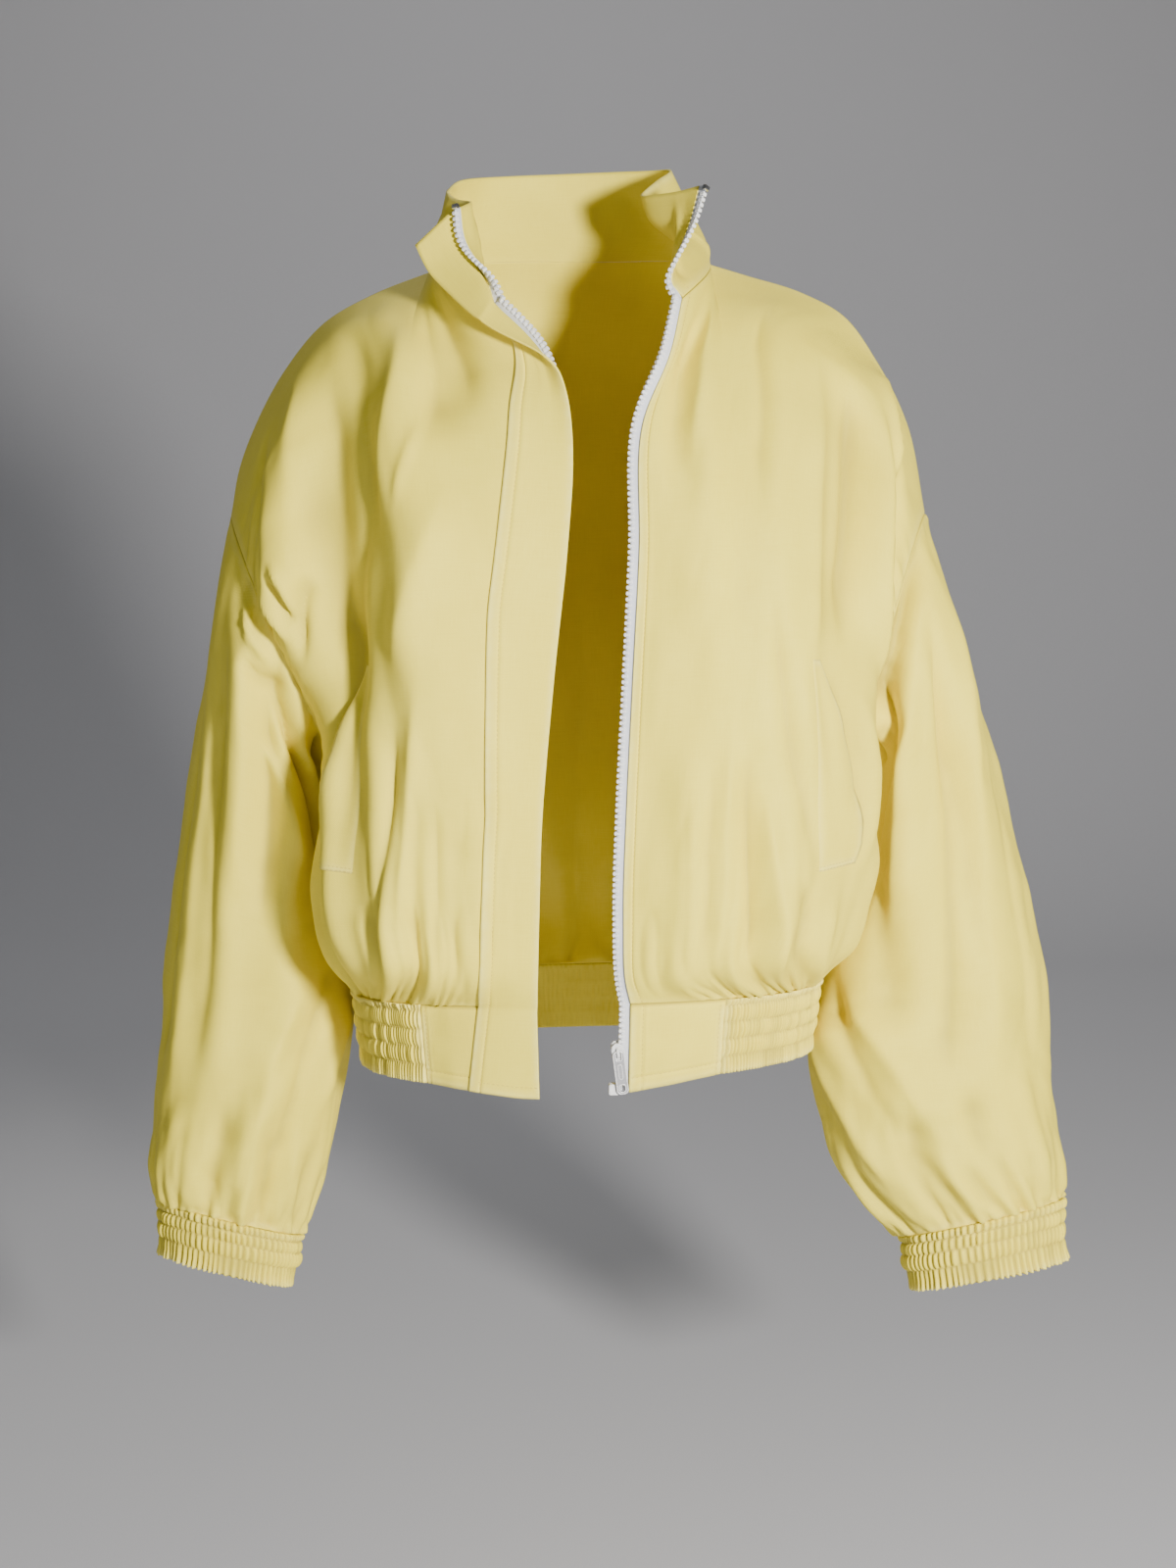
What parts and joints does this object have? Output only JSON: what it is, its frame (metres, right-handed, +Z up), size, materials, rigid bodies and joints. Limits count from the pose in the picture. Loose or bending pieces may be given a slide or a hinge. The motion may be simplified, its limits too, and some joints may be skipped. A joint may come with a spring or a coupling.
{
  "type": "bomber jacket",
  "caption": "Short zip jacket of light cloth with a tall soft collar, dropped full sleeves, shirred cuffs and hem, and a storm flap beside the zip, worn open.",
  "frame": {"origin": "centre of the neck opening at the height of the side neck points, where the wearer carries the jacket", "axes": "X to the wearer's left, Y to the wearer's back, Z up; the front opening faces -Y"},
  "size_m": [0.6835, 0.2964, 0.8317],
  "materials": {
    "cloth": "light cotton twill, pale butter yellow, soft low sheen",
    "tape": "white woven zip tape",
    "plastic": "white moulded zip teeth, satin",
    "enamel": "white enamelled zip slider and pull",
    "metal": "pressed metal top stops"
  },
  "bodies": {
    "jacket": {"back": "cloth", "collar": "cloth", "cuff_left": "cloth", "cuff_right": "cloth", "front_left": "cloth", "front_right": "cloth", "pocket_welt_left": "cloth", "pocket_welt_right": "cloth", "sleeve_left": "cloth", "sleeve_right": "cloth", "storm_flap": "cloth", "waistband_back": "cloth", "waistband_front_left": "cloth", "waistband_front_right": "cloth", "zip_retainer": "plastic", "zip_slider": "enamel", "zip_stop_left": "metal", "zip_stop_right": "metal", "zip_tape_left": "tape", "zip_tape_right": "tape", "zip_teeth_left": "plastic", "zip_teeth_right": "plastic"},
    "zip_pull": {"zip_pull": "enamel"}
  },
  "joints": [
    {"name": "zip_pull_swing", "type": "hinge", "parent": "jacket", "child": "zip_pull", "pos_m": [0.0274, -0.13948, -0.53023], "axis": [-0.9882, -0.0794, -0.1309], "range_deg": [0, 165]}
  ]
}
